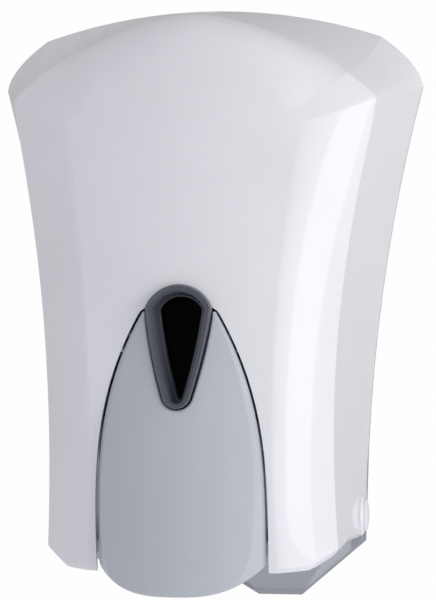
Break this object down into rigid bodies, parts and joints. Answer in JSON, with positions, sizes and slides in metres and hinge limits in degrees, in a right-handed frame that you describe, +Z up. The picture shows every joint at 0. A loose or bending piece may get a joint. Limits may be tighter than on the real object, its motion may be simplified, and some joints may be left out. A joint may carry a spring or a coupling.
{
  "type": "wall mounted soap dispenser",
  "caption": "Wall soap dispenser: arched cover on bottom hinges, push lever below a window, refill tank with flap and a piston pump that drops a dose of soap.",
  "frame": {"origin": "on the wall face, on the object's middle plane, level with the top of the push lever", "axes": "+Z up, +Y into the wall, the front looks along -Y, X across"},
  "size_m": [0.167, 0.1072, 0.2318],
  "materials": {
    "cover_white": "moulded, high gloss",
    "pin_white": "moulded, satin gloss",
    "lever_grey": "moulded, satin",
    "base_grey": "moulded, fine texture",
    "bezel_smoke": "smoked, polished",
    "lens_smoke": "smoked, polished",
    "tank_smoke": "smoked translucent",
    "lid_dark": "moulded",
    "seal_rubber": "moulded rubber",
    "steel": "ground rod",
    "clip_plastic": "moulded",
    "cradle_grey": "moulded, fine texture",
    "screw_steel": "zinc plated",
    "pump_plastic": "natural moulded",
    "nut_grey": "moulded",
    "ball_steel": "polished",
    "spring_steel": "drawn wire",
    "valve_silicone": "silicone",
    "rocker_plastic": "glass filled, moulded",
    "clip_steel": "black spring steel",
    "lock_chrome": "satin chrome",
    "lock_zinc": "zinc plated"
  },
  "bodies": {
    "base": {"base_plate": "base_grey", "tank": "tank_smoke", "tank_clips": "clip_plastic", "pump_cradle": "cradle_grey", "cradle_screws": "screw_steel", "pump_body": "pump_plastic", "pump_nut": "nut_grey", "neck_gasket": "seal_rubber", "inlet_cage": "pump_plastic", "return_spring": "spring_steel", "lid_pin": "steel", "rocker_pin": "steel", "rocker_clips": "clip_steel"},
    "cover": {"cover": "cover_white", "hinge_pins": "pin_white", "window_bezel": "bezel_smoke", "window_lens": "lens_smoke", "lever_pins": "steel", "lock_housing": "lock_chrome", "lock_nut": "lock_zinc"},
    "lever": {"push_lever": "lever_grey"},
    "rocker": {"rocker": "rocker_plastic"},
    "plunger": {"nozzle": "pump_plastic", "piston": "pump_plastic", "piston_seal": "seal_rubber", "outlet_valve": "valve_silicone"},
    "valve_ball": {"inlet_ball": "ball_steel"},
    "flap": {"tank_lid": "lid_dark", "lid_seal": "seal_rubber"},
    "lock": {"lock_barrel": "lock_chrome", "lock_cam": "lock_zinc", "cam_screw": "screw_steel"}
  },
  "joints": [
    {"name": "cover_hinge", "type": "hinge", "parent": "base", "child": "cover", "pos_m": [0, -0.012, -0.084], "axis": [1, 0, 0], "range_deg": [0, 75]},
    {"name": "lever_push", "type": "hinge", "parent": "cover", "child": "lever", "pos_m": [0, -0.082, -0.012], "axis": [1, 0, 0], "range_deg": [0, 6.7]},
    {"name": "rocker_swing", "type": "hinge", "parent": "base", "child": "rocker", "pos_m": [0, -0.066, -0.072], "axis": [1, 0, 0], "range_deg": [0, 24.1]},
    {"name": "plunger_lift", "type": "slide", "parent": "base", "child": "plunger", "axis": [0, 0, 1], "range_m": [0, 0.0097], "stiffness_N_per_m": 400, "springref_m": -0.006, "deforming": ["return_spring"]},
    {"name": "valve_ball_lift", "type": "slide", "parent": "base", "child": "valve_ball", "axis": [0, 0, 1], "range_m": [0, 0.0012]},
    {"name": "flap_hinge", "type": "hinge", "parent": "base", "child": "flap", "pos_m": [0, -0.0305, 0.0715], "axis": [-1, 0, 0], "range_deg": [0, 90]},
    {"name": "lock_turn", "type": "hinge", "parent": "cover", "child": "lock", "pos_m": [0, -0.018, 0.1024], "axis": [0, 0, -1], "range_deg": [0, 90]}
  ],
  "couplings": [
    {"joint": "rocker_swing", "follows": "lever_push", "ratio": 3.5821},
    {"joint": "plunger_lift", "follows": "lever_push", "m_per_rad": 0.082095}
  ]
}
